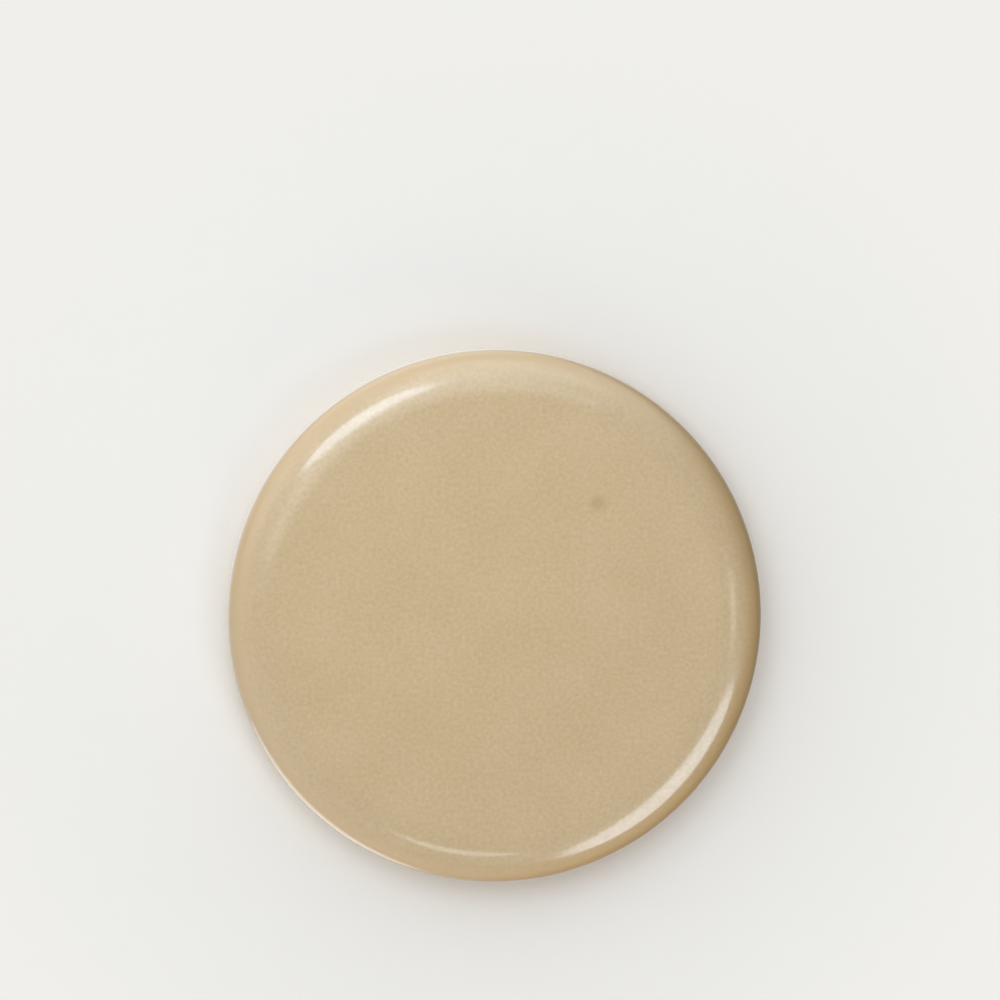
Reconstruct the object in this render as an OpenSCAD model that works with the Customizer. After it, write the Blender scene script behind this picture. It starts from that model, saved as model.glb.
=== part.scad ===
// Round reusable carpet slider, in millimetres.
// A dished plastic shell slides on its flat face, and a foam pad bonded inside grips the furniture leg.
// The sliding face lies on z = 0, the pad faces up, and z is the axis of the disc.

/* [Shell] */
// Diameter over the lip
shell_d = 127; // [100:1:180]
// Height from the sliding face to the top of the lip
shell_h = 14; // [12:0.5:24]
// Thickness of the moulding, the same in the floor and the wall
shell_t = 2.5; // [2:0.1:3.4]
// Radius of the slow curve that lifts the edge of the sliding face
ease_r = 24; // [12:1:32]
// Turn of the slow curve, in degrees
ease_turn = 15; // [6:1:24]
// Radius of the tight curve that goes on up to the wall
shoulder_r = 6.5; // [5:0.5:8]
// Outward lean of the wall, in degrees
wall_draft = 3; // [1:0.5:6]

/* [Pad seat] */
// Width of the low ring that centres the pad
ring_w = 1.2; // [0.8:0.1:2]
// Height of the ring above the floor
ring_h = 1.6; // [1:0.1:2.4]
// Flat floor left outside the ring
ring_margin = 0.6; // [0.2:0.1:2]
// Gap between the ring and the pad
pad_gap = 0.4; // [0.2:0.1:1]

/* [Grip pad] */
// Thickness of the foam
pad_t = 4.6; // [3:0.1:7]
// Depth to which the cutting die draws the foam's side in
pad_waist = 0.3; // [0.1:0.05:0.6]
// Straight band left above and below the drawn-in side
pad_land = 0.6; // [0.3:0.1:1]

/* [Adhesive] */
// Thickness of the double-sided film under the pad
film_t = 0.4; // [0.2:0.1:0.8]
// Step from the pad's edge in to the film's edge
film_inset = 1; // [0.5:0.1:3]

/* [Gate mark] */
// Diameter of the shallow dimple round the moulding gate
gate_d = 3.2; // [2:0.2:5]
// Depth of the dimple
gate_depth = 0.15; // [0.1:0.05:0.4]
// Diameter of the stub left where the gate broke off
stub_d = 0.8; // [0.4:0.1:1.2]
// Height of the stub inside the dimple
stub_h = 0.08; // [0.04:0.02:0.1]
// Distance from the axis to the gate
gate_reach = 36; // [20:1:36]
// Bearing of the gate from +x, in degrees
gate_bearing = -49; // [-180:1:180]

/* [Hidden] */
$fn = 128;

// Share of the thickness by which curves that run into each other overlap, so that they join
weld_share = 0.0002;
weld = weld_share * shell_t;

// Outward direction of a surface that has turned up from the sliding face by an angle
function facing(turn) = [sin(turn), -cos(turn)];

// Lip: a full round on the end of the wall
lip_r = shell_t / 2;
lip_centre = [shell_d / 2 - lip_r, shell_h - lip_r];

// The wall runs down from the lip into the tight curve, that into the slow curve and that into the flat face
wall_turn = 90 - wall_draft;
wall_top = lip_centre + lip_r * facing(wall_turn);
wall_foot_z = ease_r - (ease_r - shoulder_r) * cos(ease_turn) - shoulder_r * cos(wall_turn);
wall_foot = [wall_top.x - (wall_top.y - wall_foot_z) * tan(wall_draft), wall_foot_z];
shoulder_centre = wall_foot - shoulder_r * facing(wall_turn);
ease_centre = shoulder_centre - (ease_r - shoulder_r) * facing(ease_turn);
face_r = ease_centre.x;

// Pad seat, from the edge of the flat floor inwards
ring_out_r = face_r - ring_margin;
ring_in_r = ring_out_r - ring_w;
pad_r = ring_in_r - pad_gap;
film_r = pad_r - film_inset;
pad_z = shell_t + film_t;

// Circle whose edge draws the pad's side in
waist_h = pad_t - 2 * pad_land;
waist_r = (pow(waist_h / 2, 2) + pow(pad_waist, 2)) / (2 * pad_waist);

// Ball that leaves a dimple of the gate's diameter and depth
dimple_r = (pow(gate_d / 2, 2) + pow(gate_depth, 2)) / (2 * gate_depth);

// Filled section under the two curves and the wall, set in by an inset and going up along the wall by a rise
module dish_section(inset, rise) {
    foot = wall_foot - inset * facing(wall_turn);
    top = wall_top - inset * facing(wall_turn) + rise * [tan(wall_draft), 1];
    reach = (ease_r + shell_t) / cos(ease_turn);
    translate([0, inset])
        square([face_r, shoulder_centre.y]);
    intersection() {
        translate(ease_centre)
            circle(r = ease_r - inset);
        polygon([
            shoulder_centre,
            [face_r, shoulder_centre.y],
            [face_r, -shell_t],
            ease_centre + reach * facing(ease_turn)
        ]);
    }
    translate(shoulder_centre)
        circle(r = shoulder_r - inset + weld);
    polygon([foot, top, [0, top.y + top.x * tan(wall_draft)], [0, foot.y]]);
}

// Section of the low ring with a round top
module ring_section() {
    top_z = shell_t + ring_h - ring_w / 2;
    translate([ring_in_r, shell_t / 2])
        square([ring_w, top_z - shell_t / 2]);
    translate([ring_in_r + ring_w / 2, top_z])
        circle(r = ring_w / 2 + weld);
}

module shell_section() {
    difference() {
        dish_section(0, 0);
        dish_section(shell_t, shell_h);
    }
    translate(lip_centre)
        circle(r = lip_r + weld);
    ring_section();
}

// One-piece moulding: flat sliding face, shoulder, wall, lip and the pad's ring
module base_shell() {
    color([0.78, 0.70, 0.56]) {
        difference() {
            rotate_extrude()
                shell_section();
            rotate(gate_bearing)
                translate([gate_reach, 0, gate_depth - dimple_r])
                    sphere(r = dimple_r);
        }
        rotate(gate_bearing)
            translate([gate_reach, 0, gate_depth - stub_h])
                cylinder(r = stub_d / 2, h = shell_t - gate_depth);
    }
}

// Double-sided film that bonds the pad to the floor
module pad_adhesive() {
    color([0.86, 0.83, 0.74])
        translate([0, 0, shell_t])
            cylinder(r = film_r, h = film_t);
}

// Die-cut disc of closed-cell foam with its side drawn in by the cut
module grip_pad() {
    color([0.20, 0.19, 0.18])
        translate([0, 0, pad_z])
            rotate_extrude()
                difference() {
                    square([pad_r, pad_t]);
                    translate([pad_r - pad_waist + waist_r, pad_t / 2])
                        circle(r = waist_r);
                }
}

base_shell();
pad_adhesive();
grip_pad();
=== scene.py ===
import math

import bpy
from mathutils import Matrix, Vector


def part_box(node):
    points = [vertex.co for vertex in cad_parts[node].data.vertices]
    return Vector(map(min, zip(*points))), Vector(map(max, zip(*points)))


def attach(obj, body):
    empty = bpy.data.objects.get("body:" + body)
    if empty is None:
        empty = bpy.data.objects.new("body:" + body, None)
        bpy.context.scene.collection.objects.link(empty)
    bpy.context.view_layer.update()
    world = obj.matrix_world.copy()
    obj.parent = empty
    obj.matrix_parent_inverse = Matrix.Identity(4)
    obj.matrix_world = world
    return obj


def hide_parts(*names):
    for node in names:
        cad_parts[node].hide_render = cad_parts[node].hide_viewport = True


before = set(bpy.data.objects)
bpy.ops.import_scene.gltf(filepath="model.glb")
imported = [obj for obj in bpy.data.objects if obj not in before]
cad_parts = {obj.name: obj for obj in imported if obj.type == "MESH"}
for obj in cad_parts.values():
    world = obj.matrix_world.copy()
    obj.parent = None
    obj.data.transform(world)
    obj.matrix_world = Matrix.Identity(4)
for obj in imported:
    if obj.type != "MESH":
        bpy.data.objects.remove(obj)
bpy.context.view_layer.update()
scene = bpy.context.scene
scene.view_settings.view_transform = "Standard"
mm = 0.001  # the frame is in metres
print("frame loaded:", ", ".join(sorted(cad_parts)))


class Wire:  # one output socket, with arithmetic
    def __init__(self, net, socket):
        self.net = net
        self.socket = socket

    def maths(self, operation, *values):
        return self.net.add("ShaderNodeMath", {"operation": operation}, dict(enumerate(values)))

    def __add__(self, other):
        return self.maths("ADD", self, other)

    def __radd__(self, other):
        return self.maths("ADD", other, self)

    def __sub__(self, other):
        return self.maths("SUBTRACT", self, other)

    def __rsub__(self, other):
        return self.maths("SUBTRACT", other, self)

    def __mul__(self, other):
        return self.maths("MULTIPLY", self, other)

    def __rmul__(self, other):
        return self.maths("MULTIPLY", other, self)

    def __truediv__(self, other):
        return self.maths("DIVIDE", self, other)

    def __rtruediv__(self, other):
        return self.maths("DIVIDE", other, self)

    def sqrt(self):
        return self.maths("SQRT", self)

    def sine(self):
        return self.maths("SINE", self)

    def cosine(self):
        return self.maths("COSINE", self)

    def tangent(self):
        return self.maths("TANGENT", self)

    def sign(self):
        return self.maths("SIGN", self)

    def unsigned(self):
        return self.maths("ABSOLUTE", self)

    def atLeast(self, other):
        return self.maths("MAXIMUM", self, other)

    def atMost(self, other):
        return self.maths("MINIMUM", self, other)

    def clamped(self):  # kept from 0 to 1
        return self.atLeast(0.0).atMost(1.0)

    def over(self, other):  # 1 where it is larger
        return self.maths("GREATER_THAN", self, other)

    def rise(self, low, high):  # 0 below low, 1 above high, smooth between
        ends = {"Value": self, "From Min": low, "From Max": high}
        return self.net.add("ShaderNodeMapRange", {"interpolation_type": "SMOOTHSTEP"}, ends)


class Net:  # a node tree that grows by one method
    def __init__(self, tree):
        self.tree = tree

    def add(self, kind, settings=None, sockets=None, out=0):
        node = self.tree.nodes.new(kind)
        for name, value in (settings or {}).items():
            setattr(node, name, value)
        for key, value in (sockets or {}).items():
            if isinstance(value, (Wire, list)):
                for wire in value if isinstance(value, list) else [value]:
                    self.tree.links.new(wire.socket, node.inputs[key])
            else:
                node.inputs[key].default_value = value
        if isinstance(out, tuple):
            return tuple(Wire(self, node.outputs[name]) for name in out)
        return Wire(self, node.outputs[out]) if node.outputs else None

    def mix(self, share, first, second):  # two colours
        return self.add("ShaderNodeMix", {"data_type": "RGBA"}, {0: share, 6: first, 7: second}, 2)

    def noise(self, spot, size, detail):  # size of one blot
        return self.add("ShaderNodeTexNoise", None, {
            "Vector": spot, "Scale": 1 / size, "Detail": detail})

    def cells(self, spot, size):  # distance to the middle of the nearest cell, about 0 to 1
        return self.add("ShaderNodeTexVoronoi", None, {"Vector": spot, "Scale": 1 / size})

    def spread(self, x, y, z):
        return self.add("ShaderNodeCombineXYZ", None, {0: x, 1: y, 2: z})

    def parts(self, vector):
        return self.add("ShaderNodeSeparateXYZ", None, {0: vector}, (0, 1, 2))

    def spot(self):  # object coordinates
        return self.add("ShaderNodeTexCoord", None, None, "Object")

    def position(self):  # of each point of a mesh
        return self.add("GeometryNodeInputPosition")

    def bump(self, height, depth):
        return self.add("ShaderNodeBump", None, {"Height": height, "Distance": depth, "Strength": 1.0})

    def surface(self, sockets):  # a Principled shader, wired to the output
        shader = self.add("ShaderNodeBsdfPrincipled", None, sockets)
        self.add("ShaderNodeOutputMaterial", None, {"Surface": shader})


def newMaterial(name):
    material = bpy.data.materials.new(name)
    material.use_nodes = True
    material.node_tree.nodes.clear()
    return material, Net(material.node_tree)


def tone(red, green, blue):  # an sRGB colour as the linear one that a shader takes
    parts = [level / 255 for level in (red, green, blue)]
    linear = [p / 12.92 if p <= 0.04045 else ((p + 0.055) / 1.055) ** 2.4 for p in parts]
    return (*linear, 1.0)


def newTree(name, sizes):  # a geometry tree with one named input for each size, and one for its material
    tree = bpy.data.node_groups.new(name, "GeometryNodeTree")
    kinds = {size: "NodeSocketFloat" for size in sizes}
    kinds["Material"] = "NodeSocketMaterial"
    for label, kind in kinds.items():
        tree.interface.new_socket(label, in_out="INPUT", socket_type=kind)
    tree.interface.new_socket("Geometry", in_out="OUTPUT", socket_type="NodeSocketGeometry")
    net = Net(tree)
    return net, dict(zip(kinds, net.add("NodeGroupInput", None, None, tuple(range(len(kinds))))))


def endTree(net, geometry, material):
    geometry = net.add("GeometryNodeRealizeInstances", None, {"Geometry": geometry})
    geometry = net.add("GeometryNodeSetMaterial", None, {"Geometry": geometry, "Material": material})
    net.add("NodeGroupOutput", None, {0: geometry})


def growPiece(name, tree, values):  # runs a tree and keeps the result as a plain mesh
    holder = bpy.data.objects.new(name + "Holder", bpy.data.meshes.new(name + "Holder"))
    scene.collection.objects.link(holder)
    modifier = holder.modifiers.new(name, "NODES")
    modifier.node_group = tree
    for item in tree.interface.items_tree:
        if item.in_out == "INPUT":
            modifier[item.identifier] = values[item.name]
    evaluated = holder.evaluated_get(bpy.context.evaluated_depsgraph_get())
    mesh = bpy.data.meshes.new_from_object(evaluated)
    bpy.data.objects.remove(holder)
    piece = bpy.data.objects.new(name, mesh)
    scene.collection.objects.link(piece)
    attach(piece, "root")
    return piece


# shell: one section turned round the axis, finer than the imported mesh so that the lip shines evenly

shell = {
    "sizes": {  # as in the part's source
        "Diameter": 127 * mm,
        "Height": 14 * mm,
        "Thickness": 2.5 * mm,
        "Slow Radius": 24 * mm,
        "Slow Turn": math.radians(15),
        "Tight Radius": 6.5 * mm,
        "Draft": math.radians(3),
        "Ring Width": 1.2 * mm,
        "Ring Height": 1.6 * mm,
        "Ring Margin": 0.6 * mm,
        "Gate Width": 3.2 * mm,
        "Gate Depth": 0.15 * mm,
        "Stub Width": 0.8 * mm,
        "Stub Height": 0.08 * mm,
        "Gate Reach": 36 * mm,
        "Gate Bearing": math.radians(-49),
    },
    "turns": 256,
    "steps": {
        "flat": 13, "slow": 12, "tight": 26, "wall": 3,
        "lip": 24, "innerTight": 20, "innerSlow": 10, "ring": 12},
    "weld": 0.001 * mm,
    "ballSides": 96,  # ball that leaves the dimple
    "ballRings": 128,
    "stubSides": 40,
    "crease": math.radians(30),  # edges that bend more than this stay crisp
    "gateCrease": math.radians(5),
    "tan": tone(206, 180, 139),
    "tanDeep": tone(189, 161, 119),
    "paintedRimShadeTone": tone(194, 162, 114),  # painted shade: the outer shoulder is coloured deeper and darker for the shade along the rim
    "gateTone": tone(184, 157, 112),
    "coreRadius": 56.7 * mm,  # middle of the tight curve, seen in section
    "coreHeight": 7.1 * mm,
    "cupEdge": (4.9 * mm, 5.9 * mm),  # distance from it where the cup gives way to the outside
    "polishEdge": (50.0 * mm, 57.0 * mm),  # the face is grained, the shoulder shines
    # painted shade: where the rim's deeper, darker tone begins and where it is full
    "paintedRimShadeEdge": (55.5 * mm, 63.5 * mm),
    "grain": {"size": 0.95 * mm, "detail": 1.0},  # fine grain of the sliding face
    "cloud": {"size": 17 * mm, "detail": 2.0},
    "grainMottle": 1.3,
    "cloudMottle": 0.6,
    "grainDepth": 0.008 * mm,
    "cloudDepth": 0.4,  # as a share of the grain's
    "blushEdge": (0.3, 1.8),  # outer fade of the stain round the gate, in dimple radii
    "blushCore": (-0.2, 0.5),  # fade towards its paler middle
    "blushHeight": (0.6 * mm, 1.2 * mm),  # keeps the stain to the sliding face
    "faceRoughness": 0.42,
    "cupRoughness": 0.38,
    "grainRoughness": 0.05,
    "polishRoughness": 0.13,
    "polishIor": 1.6,
    "ior": 1.5,
}


def shellPlastic():
    material, net = newMaterial("tanPlastic")
    spot = net.spot()
    x, y, z = net.parts(spot)
    sizes = shell["sizes"]
    radius = (x * x + y * y).sqrt()
    across = (radius - shell["coreRadius"]).atLeast(0.0)
    down = (shell["coreHeight"] - z).atLeast(0.0)
    depth = (across * across + down * down).sqrt()  # largest on the outside of the moulding
    cup = 1 - depth.rise(*shell["cupEdge"])
    polish = radius.rise(*shell["polishEdge"]) * (1 - cup)
    paintedRimShade = radius.rise(*shell["paintedRimShadeEdge"]) * (1 - cup)
    grain = net.noise(spot, **shell["grain"])
    cloud = net.noise(spot, **shell["cloud"])
    gateX = x - sizes["Gate Reach"] * math.cos(sizes["Gate Bearing"])
    gateY = y - sizes["Gate Reach"] * math.sin(sizes["Gate Bearing"])
    gateOff = (gateX * gateX + gateY * gateY).sqrt() / (sizes["Gate Width"] / 2)
    blush = (1 - gateOff.rise(*shell["blushEdge"])) * gateOff.rise(*shell["blushCore"])
    blush = blush * (1 - z.rise(*shell["blushHeight"]))
    mottle = (grain - 0.5) * shell["grainMottle"] + (cloud - 0.5) * shell["cloudMottle"] + 0.5
    colour = net.mix(mottle.clamped(), shell["tanDeep"], shell["tan"])
    # painted shade: towards the rim the colour turns deeper and darker
    colour = net.mix(paintedRimShade, colour, shell["paintedRimShadeTone"])
    colour = net.mix(blush, colour, shell["gateTone"])
    satin = shell["faceRoughness"] + cup * (shell["cupRoughness"] - shell["faceRoughness"])
    height = grain * (1 - polish) + cloud * shell["cloudDepth"]
    net.surface({
        "Base Color": colour,
        "Roughness": satin + (grain - 0.5) * shell["grainRoughness"],
        "IOR": shell["ior"],
        "Coat Weight": polish,
        "Coat Roughness": shell["polishRoughness"],
        "Coat IOR": shell["polishIor"],
        "Normal": net.bump(height, shell["grainDepth"])})
    return material


def arcOf(net, centre, radius, start, sweep, steps):  # angles as in the section, 0 straight down
    arc = net.add("GeometryNodeCurveArc", {"mode": "RADIUS"}, {
        "Resolution": steps + 1, "Radius": radius,
        "Start Angle": start - math.pi / 2, "Sweep Angle": sweep})
    return net.add("GeometryNodeTransform", None, {
        "Geometry": arc, "Translation": net.spread(*centre, 0.0)})


def lineOf(net, start, end, steps=1):
    line = net.add("GeometryNodeCurvePrimitiveLine", None, {
        "Start": net.spread(*start, 0.0), "End": net.spread(*end, 0.0)})
    return net.add("GeometryNodeResampleCurve", None, {"Curve": line, "Count": steps + 1})


def shellTree():
    net, size = newTree("turnedShell", shell["sizes"])
    thick, slow, slowTurn = size["Thickness"], size["Slow Radius"], size["Slow Turn"]
    tight, draft = size["Tight Radius"], size["Draft"]
    wallTurn = math.pi / 2 - draft
    lipRadius = thick / 2
    lip = (size["Diameter"] / 2 - lipRadius, size["Height"] - lipRadius)
    outX, outZ = wallTurn.sine(), -1.0 * wallTurn.cosine()  # which way the wall faces
    wallTop = (lip[0] + lipRadius * outX, lip[1] + lipRadius * outZ)
    footZ = slow - (slow - tight) * slowTurn.cosine() + tight * outZ
    wallFoot = (wallTop[0] - (wallTop[1] - footZ) * draft.tangent(), footZ)
    tightAt = (wallFoot[0] - tight * outX, wallFoot[1] - tight * outZ)
    faceEnd = tightAt[0] - (slow - tight) * slowTurn.sine()
    slowAt = (faceEnd, slow)
    innerTop = (lip[0] - lipRadius * outX, lip[1] - lipRadius * outZ)
    innerFoot = (wallFoot[0] - thick * outX, wallFoot[1] - thick * outZ)
    ringOut = faceEnd - size["Ring Margin"]
    ringIn = ringOut - size["Ring Width"]
    ringRound = size["Ring Width"] / 2
    ringTop = thick + size["Ring Height"] - ringRound
    steps = shell["steps"]
    section = net.add("GeometryNodeJoinGeometry", None, {"Geometry": [
        lineOf(net, (0.0, 0.0), (faceEnd, 0.0), steps["flat"]),
        arcOf(net, slowAt, slow, 0.0, slowTurn, steps["slow"]),
        arcOf(net, tightAt, tight, slowTurn, wallTurn - slowTurn, steps["tight"]),
        lineOf(net, wallFoot, wallTop, steps["wall"]),
        arcOf(net, lip, lipRadius, wallTurn, math.pi, steps["lip"]),
        lineOf(net, innerTop, innerFoot, steps["wall"]),
        arcOf(net, tightAt, tight - thick, wallTurn, slowTurn - wallTurn, steps["innerTight"]),
        arcOf(net, slowAt, slow - thick, slowTurn, -1.0 * slowTurn, steps["innerSlow"]),
        lineOf(net, (faceEnd, thick), (ringOut, thick)),
        lineOf(net, (ringOut, thick), (ringOut, ringTop)),
        arcOf(net, (ringOut - ringRound, ringTop), ringRound, math.pi / 2, math.pi, steps["ring"]),
        lineOf(net, (ringIn, ringTop), (ringIn, thick)),
        lineOf(net, (ringIn, thick), (0.0, thick), steps["flat"]),
    ]})
    pathRadius = size["Diameter"] / 4
    path = net.add("GeometryNodeCurvePrimitiveCircle", None, {
        "Resolution": shell["turns"], "Radius": pathRadius})
    section = net.add("GeometryNodeTransform", None, {
        "Geometry": section,
        "Translation": net.spread(-1.0 * pathRadius, 0.0, 0.0),
        "Scale": (1.0, -1.0, 1.0)})  # a sweep takes its profile upside down
    skin = net.add("GeometryNodeCurveToMesh", None, {"Curve": path, "Profile Curve": section})
    skin = net.add("GeometryNodeMergeByDistance", None, {"Geometry": skin, "Distance": shell["weld"]})
    skin = net.add("GeometryNodeFlipFaces", None, {"Mesh": skin})
    gateX = size["Gate Reach"] * size["Gate Bearing"].cosine()
    gateY = size["Gate Reach"] * size["Gate Bearing"].sine()
    skin = cutGate(net, size, skin, gateX, gateY)
    x, y = net.parts(net.position())[:2]
    gateOff = ((x - gateX) * (x - gateX) + (y - gateY) * (y - gateY)).sqrt()
    away = gateOff.over(size["Gate Width"])  # clear of the gate
    limit = shell["gateCrease"] + away * (shell["crease"] - shell["gateCrease"])
    bend = net.add("GeometryNodeInputMeshEdgeAngle", None, None, "Unsigned Angle")
    skin = net.add("GeometryNodeSetShadeSmooth", None, {"Geometry": skin, "Shade Smooth": True})
    skin = net.add("GeometryNodeSetShadeSmooth", {"domain": "EDGE"}, {
        "Geometry": skin, "Selection": bend.over(limit), "Shade Smooth": False})
    endTree(net, skin, size["Material"])
    return net.tree


def cutGate(net, size, skin, gateX, gateY):  # shallow dimple in the sliding face, with the broken stub
    half, deep = size["Gate Width"] / 2, size["Gate Depth"]
    ballRadius = (half * half + deep * deep) / (2 * deep)
    ball = net.add("GeometryNodeMeshUVSphere", None, {
        "Segments": shell["ballSides"], "Rings": shell["ballRings"], "Radius": ballRadius})
    ball = net.add("GeometryNodeTransform", None, {
        "Geometry": ball, "Translation": net.spread(gateX, gateY, deep - ballRadius)})
    skin = net.add("GeometryNodeMeshBoolean", {"operation": "DIFFERENCE", "solver": "EXACT"}, {
        "Mesh 1": skin, "Mesh 2": ball})
    stubLong = size["Thickness"] / 2
    stubMiddle = deep - size["Stub Height"] + stubLong / 2
    stub = net.add("GeometryNodeMeshCylinder", None, {
        "Vertices": shell["stubSides"], "Radius": size["Stub Width"] / 2, "Depth": stubLong})
    stub = net.add("GeometryNodeTransform", None, {
        "Geometry": stub, "Translation": net.spread(gateX, gateY, stubMiddle)})
    return net.add("GeometryNodeMeshBoolean", {"operation": "UNION", "solver": "EXACT"}, {
        "Mesh 2": [skin, stub]})


def makeShell():
    piece = growPiece("turnedShell", shellTree(), {**shell["sizes"], "Material": shellPlastic()})
    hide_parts("base_shell")
    print("shell turned:", len(piece.data.polygons), "faces")


makeShell()


# bonding film, of which only the edge shows under the pad

film = {
    "clear": tone(214, 204, 178),
    "amber": tone(190, 172, 132),
    "streaks": {"size": 3 * mm, "detail": 3.0},
    "streakDepth": 0.02 * mm,
    "roughness": 0.45,
    "streakRoughness": 0.2,
}


def filmAdhesive():
    material, net = newMaterial("bondingFilm")
    streaks = net.noise(net.spot(), **film["streaks"])
    net.surface({
        "Base Color": net.mix(streaks, film["clear"], film["amber"]),
        "Roughness": film["roughness"] + streaks * film["streakRoughness"],
        "Normal": net.bump(streaks, film["streakDepth"])})
    return material


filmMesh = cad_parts["pad_adhesive"].data
filmMesh.materials.clear()
filmMesh.materials.append(filmAdhesive())
print("film finished")


# grip pad: a disc of closed-cell foam, cut with a die

pad = {
    "sizes": {
        "Edge": 0.55 * mm,  # roll of the cut edges
        "Waist": 0.3 * mm,  # how far the cut draws the side in
        "Unevenness": 0.12 * mm,
        "Swell": 11 * mm,  # width of one rise in the foam's face
        "Seed": 4.0,
    },
    "turns": 240,
    "rings": 109,
    "sideShare": 1 / 9,  # of the rings, how many run up the side
    "weld": 0.002 * mm,
    "swellDetail": 1.0,
    "charcoal": tone(66, 63, 60),
    "charcoalDeep": tone(34, 32, 30),
    "cell": 0.85 * mm,
    "pore": (0.12, 0.4),  # small open cells in a smooth skin
    "fine": {"size": 0.2 * mm, "detail": 2.0},
    "cloud": {"size": 9 * mm, "detail": 3.0},
    # painted shade: how much darker the pores are coloured
    "porePaintedShade": 0.7,
    "cloudShade": 0.5,
    "fineShade": 0.6,
    "meanShade": 0.15,
    "cellDepth": 0.05 * mm,
    "fineDepth": 0.5,  # as a share of the cells'
    "roughness": 0.8,
    "cloudRoughness": 0.2,
    "sheen": 0.06,
    "sheenRoughness": 0.5,
}


def padFoam():
    material, net = newMaterial("charcoalFoam")
    spot = net.spot()
    fine = net.noise(spot, **pad["fine"])
    cloud = net.noise(spot, **pad["cloud"])
    pore = 1 - net.cells(spot, pad["cell"]).rise(*pad["pore"])
    # painted shade: the pores are coloured darker, for the shade in the pits; cloud and fine noise vary
    # the tone at random
    toneAndPaintedShade = pore * pad["porePaintedShade"] + (cloud - 0.5) * pad["cloudShade"]
    toneAndPaintedShade = toneAndPaintedShade + (fine - 0.5) * pad["fineShade"] + pad["meanShade"]
    net.surface({
        "Base Color": net.mix(toneAndPaintedShade.clamped(), pad["charcoal"], pad["charcoalDeep"]),
        "Roughness": pad["roughness"] + (cloud - 0.5) * pad["cloudRoughness"],
        "Normal": net.bump(fine * pad["fineDepth"] - pore, pad["cellDepth"]),
        "Sheen Weight": pad["sheen"],
        "Sheen Roughness": pad["sheenRoughness"]})
    return material


def padTree():  # a grid wound into a closed disc: turns round the axis, rings from the bottom to the top
    net, size = newTree("foamDisc", ("Radius", "Thickness", "Base", *pad["sizes"]))
    radius, thick, edge = size["Radius"], size["Thickness"], size["Edge"]
    grid = net.add("GeometryNodeMeshGrid", None, {
        "Size X": 1.0, "Size Y": 2.0, "Vertices X": pad["turns"] + 1, "Vertices Y": pad["rings"]})
    around, along = net.parts(net.position())[:2]
    angle = (around + 0.5) * math.tau
    sideRun = (along.unsigned() / pad["sideShare"]).atMost(1.0)
    lidRun = (along.unsigned() - pad["sideShare"]).atLeast(0.0) / (1 - pad["sideShare"])
    reach = radius * (1 - lidRun * lidRun)
    over = (reach - (radius - edge)).atLeast(0.0)
    lid = thick / 2 - edge + (edge * edge - over * over).sqrt()
    drawn = reach - size["Waist"] * (1 - sideRun * sideRun)
    height = size["Base"] + thick / 2 + along.sign() * sideRun * lid
    disc = net.add("GeometryNodeSetPosition", None, {
        "Geometry": grid, "Position": net.spread(drawn * angle.cosine(), drawn * angle.sine(), height)})
    disc = net.add("GeometryNodeMergeByDistance", None, {"Geometry": disc, "Distance": pad["weld"]})
    wave = net.add("ShaderNodeTexNoise", {"noise_dimensions": "4D"}, {
        "Vector": net.position(), "W": size["Seed"],
        "Scale": 1 / size["Swell"], "Detail": pad["swellDetail"]})
    push = net.add("ShaderNodeVectorMath", {"operation": "SCALE"}, {
        0: net.add("GeometryNodeInputNormal"), "Scale": (wave - 0.5) * size["Unevenness"]})
    disc = net.add("GeometryNodeSetPosition", None, {"Geometry": disc, "Offset": push})
    disc = net.add("GeometryNodeSetShadeSmooth", None, {"Geometry": disc, "Shade Smooth": True})
    endTree(net, disc, size["Material"])
    return net.tree


def makePad():
    low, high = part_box("grip_pad")
    values = {"Radius": high[0], "Thickness": high[2] - low[2], "Base": low[2], "Material": padFoam()}
    piece = growPiece("foamPad", padTree(), {**values, **pad["sizes"]})
    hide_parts("grip_pad")
    print("pad cut:", len(piece.data.polygons), "faces")


makePad()


# camera: the photograph looks at the sliding face, so it stands below the floor and looks up

view = {
    "toward": (-0.557, -0.83, 0.0),  # side of the axis to which the camera leans
    "lean": math.radians(7),
    "distance": 700 * mm,
    "middle": 7 * mm,  # half the height of the part
    "aim": (0.96 * mm, -27.72 * mm),
    "lens": 106.4,
    "sensor": 36.0,
    "nearest": 0.01,
}


def makeCamera():
    toward = Vector(view["toward"]).normalized()
    back = toward * math.sin(view["lean"]) - Vector((0, 0, 1)) * math.cos(view["lean"])
    eye = back * view["distance"] + Vector((0, 0, view["middle"]))
    forward = (Vector((*view["aim"], view["middle"])) - eye).normalized()
    right = forward.cross(Vector((0, -1, 0))).normalized()
    camera = bpy.data.objects.new("camera", bpy.data.cameras.new("camera"))
    camera.data.lens = view["lens"]
    camera.data.sensor_width = view["sensor"]
    camera.data.clip_start = view["nearest"]
    camera.matrix_world = Matrix((right, right.cross(forward), -forward)).transposed().to_4x4()
    camera.location = eye
    scene.collection.objects.link(camera)
    scene.camera = camera


makeCamera()


# stage: a pale floor for eyes above it, and a pale backdrop behind the part for an eye below the floor

stage = {
    "pale": tone(240, 239, 236),
    "warm": tone(240, 234, 226),  # evens out the cool light from below
    "floorHeight": -0.05 * mm,
    "backdropHeight": 14.4 * mm,
    "sheetGap": 0.01 * mm,
    "halfWidth": 6.0,
    "fade": (0.068, 0.15),  # from lit paper to the plain background
}


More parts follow.
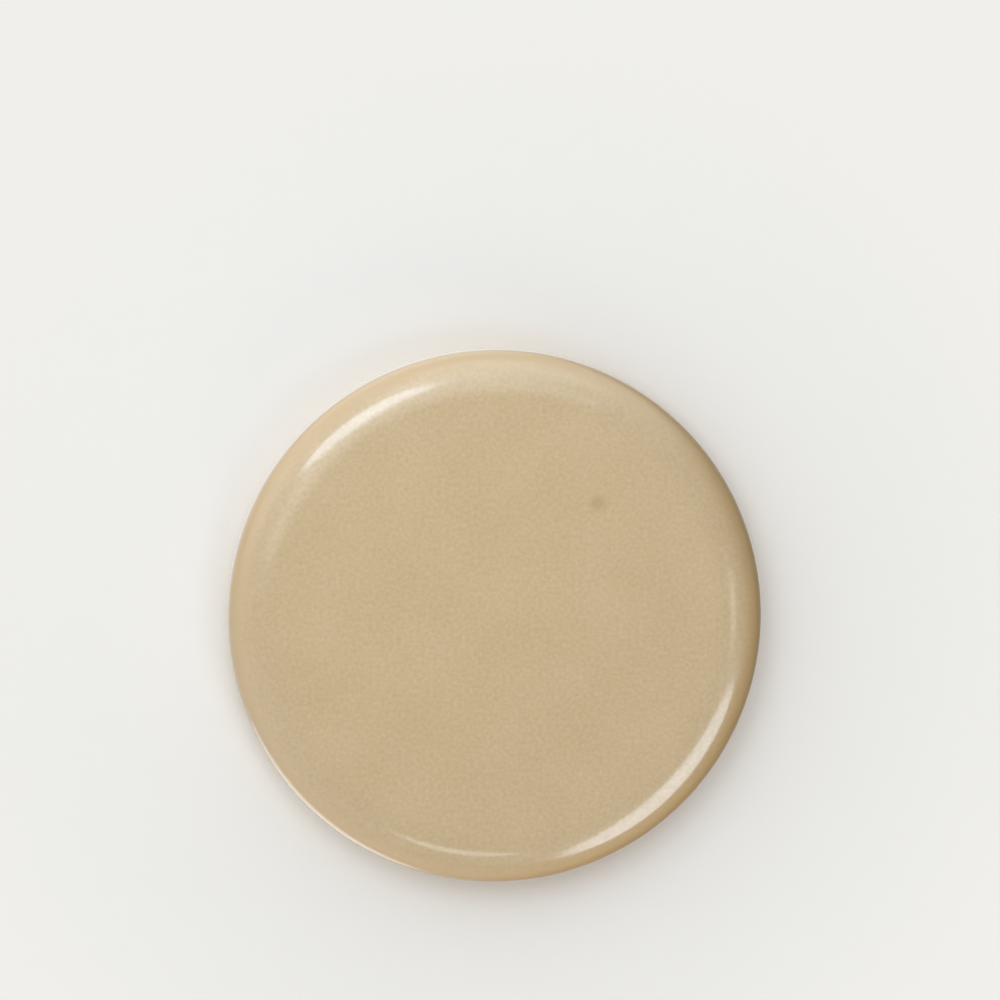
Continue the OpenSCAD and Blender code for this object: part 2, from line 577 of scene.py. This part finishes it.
def stagePaper(name, sheets):
    material, net = newMaterial(name)
    x, y = net.parts(net.spot())[:2]
    far = (x * x + y * y).sqrt().rise(*stage["fade"])
    colour = stage["pale"] if sheets > 1 else stage["warm"]
    lit = net.add("ShaderNodeBsdfDiffuse", None, {"Color": colour})
    plain = net.add("ShaderNodeEmission", None, {"Color": stage["pale"], "Strength": 1.0})
    paper = net.add("ShaderNodeMixShader", None, {0: far, 1: lit, 2: plain})
    behind = net.add("ShaderNodeNewGeometry", None, None, "Backfacing")
    if sheets > 1:  # light that has come through both sheets goes back through them
        passed = net.add("ShaderNodeLightPath", None, None, "Transparent Depth")
        behind = behind.atLeast(passed.over(sheets - 0.5))
    clear = net.add("ShaderNodeBsdfTransparent")
    shown = net.add("ShaderNodeMixShader", None, {0: behind, 1: paper, 2: clear})
    net.add("ShaderNodeOutputMaterial", None, {"Surface": shown})
    return material


def makeSheet(name, height, faceUp, sheets):
    reach = stage["halfWidth"]
    corners = [(-reach, -reach), (reach, -reach), (reach, reach), (-reach, reach)]
    order = (0, 1, 2, 3) if faceUp else (3, 2, 1, 0)
    levels = [height - layer * stage["sheetGap"] for layer in range(sheets)]
    mesh = bpy.data.meshes.new(name)
    mesh.from_pydata([(x, y, level) for level in levels for x, y in corners], [],
                     [[4 * layer + corner for corner in order] for layer in range(sheets)])
    mesh.materials.append(stagePaper(name, sheets))
    sheet = bpy.data.objects.new(name, mesh)
    scene.collection.objects.link(sheet)
    return sheet


makeSheet("floor", stage["floorHeight"], True, 2)
backdrop = makeSheet("backdrop", stage["backdropHeight"], False, 1)
backdrop.visible_diffuse = backdrop.visible_glossy = False
backdrop.visible_transmission = backdrop.visible_shadow = False


# lamps: bearing as the photograph shows it, from its right edge; off is the angle from straight below
# dull lamps light without being reflected, and shine lamps are only reflected

window = (0.88, 0.99, 1.13)  # daylight is a little bluer than the lamps
plainWhite = (1.0, 1.0, 1.0)

lamps = {
    "upperLeft": {
        "bearing": 124, "off": 30.5, "distance": 0.32, "spread": (12, 24), "tilt": -10,
        "radiance": 5.3, "colour": (0.84, 1.0, 1.22), "shine": True},
    "upperGlow": {
        "bearing": 114, "off": 14, "distance": 0.41, "spread": (16, 46),
        "radiance": 1.15, "colour": (0.97, 1.0, 1.0)},
    "topShine": {
        "bearing": 88, "off": 50, "distance": 1.2, "spread": (56, 44),
        "radiance": 0.75, "colour": plainWhite, "shine": True},
    "lowerRight": {
        "bearing": 312, "off": 40.3, "distance": 2.0, "spread": (22, 32), "tilt": 12,
        "radiance": 2.4, "colour": window},
    "lowerShine": {
        "bearing": 312, "off": 40.3, "distance": 2.1, "spread": (22, 32), "tilt": 12,
        "radiance": 2.3, "colour": window, "shine": True},
    "lowerGlint": {
        "bearing": 269, "off": 29, "distance": 1.0, "spread": (5, 12),
        "radiance": 3.7, "colour": plainWhite},
    "rightGlint": {
        "bearing": 350, "off": 28.5, "distance": 1.0, "spread": (6, 8),
        "radiance": 2.5, "colour": (1.06, 1.0, 0.9)},
    "rightFill": {
        "bearing": 294, "off": 85, "distance": 1.2, "spread": (50, 56),
        "radiance": 2.45, "colour": (1.12, 1.0, 0.84), "dull": True},
    "faceFill": {
        "bearing": 124, "off": 30, "distance": 0.25, "spread": (30, 30),
        "radiance": 2.45, "colour": plainWhite, "dull": True},
    "cupTop": {
        "bearing": 60, "off": 165, "distance": 1.2, "spread": (50, 50),
        "radiance": 0.8, "colour": plainWhite, "dull": True},
    "cupKey": {
        "bearing": 235, "off": 125, "distance": 1.2, "spread": (30, 40),
        "radiance": 1.2, "colour": plainWhite},
    "cupFill": {
        "bearing": 30, "off": 125, "distance": 1.2, "spread": (34, 34),
        "radiance": 1.2, "colour": plainWhite, "dull": True},
}


def makeLamp(name, plan):
    bearing, off = math.radians(plan["bearing"]), math.radians(plan["off"])
    level = math.sin(off)
    toLamp = Vector((level * math.cos(bearing), -level * math.sin(bearing), -math.cos(off)))
    height, width = (2 * plan["distance"] * math.tan(math.radians(turn / 2)) for turn in plan["spread"])
    lamp = bpy.data.lights.new(name, "AREA")
    lamp.shape = "ELLIPSE"
    lamp.size, lamp.size_y = width, height
    lamp.energy = plan["radiance"] * math.pi * width * height * math.pi / 4
    lamp.color = plan["colour"]
    side = toLamp.cross(Vector((0, 0, 1))).normalized()
    side = Matrix.Rotation(math.radians(plan.get("tilt", 0)), 3, toLamp) @ side
    holder = bpy.data.objects.new(name, lamp)
    holder.matrix_world = Matrix((side, toLamp.cross(side), toLamp)).transposed().to_4x4()
    holder.location = toLamp * plan["distance"]
    holder.visible_camera = False
    holder.visible_glossy = not plan.get("dull")
    holder.visible_diffuse = not plan.get("shine")
    scene.collection.objects.link(holder)


for name, plan in lamps.items():
    makeLamp(name, plan)


# world: plain pale to the eye; its soft light comes from the top and the left of the photograph

world = {
    "belowTone": (0.8, 0.87, 0.94, 1.0),
    "aboveTone": (0.85, 0.866, 0.88, 1.0),
    "horizon": (-0.1, 0.25),  # where what is below gives way to what is above
    "caps": [  # round patches of light overhead and underfoot
        {"up": 1.0, "start": 0.5, "full": 0.95, "strength": 0.4},
        {"up": 1.0, "start": 0.9, "full": 0.97, "strength": 0.45},
        {"up": -1.0, "start": 0.7, "full": 0.84, "strength": 0.1},
    ],
    "skies": [  # wide patches at the sides
        {"bearing": 100, "dip": 15, "start": 0.24, "full": 0.74, "below": 1.62, "above": 1.25},
        {"bearing": 214, "dip": 0, "start": 0.1, "full": 0.9, "below": 1.05, "above": 0.8},
        {"bearing": 124, "dip": -50, "start": 0.7, "full": 0.95, "below": 0.5, "above": 0.5},
    ],
}


def makeWorld():
    scene.world = bpy.data.worlds.new("studio")
    scene.world.use_nodes = True
    scene.world.node_tree.nodes.clear()
    net = Net(scene.world.node_tree)
    x, y, z = net.parts(net.add("ShaderNodeTexCoord", None, None, "Generated"))
    above = z.rise(*world["horizon"])
    soft = 0.0
    for cap in world["caps"]:
        soft = (z * cap["up"]).rise(cap["start"], cap["full"]) * cap["strength"] + soft
    for sky in world["skies"]:
        bearing, dip = math.radians(sky["bearing"]), math.radians(sky["dip"])
        level = x * math.cos(bearing) - y * math.sin(bearing)
        side = (level * math.cos(dip) - z * math.sin(dip)).rise(sky["start"], sky["full"])
        soft = side * (sky["below"] + above * (sky["above"] - sky["below"])) + soft
    seen, through = net.add("ShaderNodeLightPath", None, None, ("Is Camera Ray", "Is Transmission Ray"))
    plain = seen.atLeast(through)
    colour = net.mix(above, world["belowTone"], world["aboveTone"])
    colour = net.mix(plain, colour, stage["pale"])
    strength = plain + (1 - plain) * soft
    paper = net.add("ShaderNodeBackground", None, {"Color": colour, "Strength": strength})
    net.add("ShaderNodeOutputWorld", None, {"Surface": paper})


makeWorld()
print("camera, stage and lamps set")
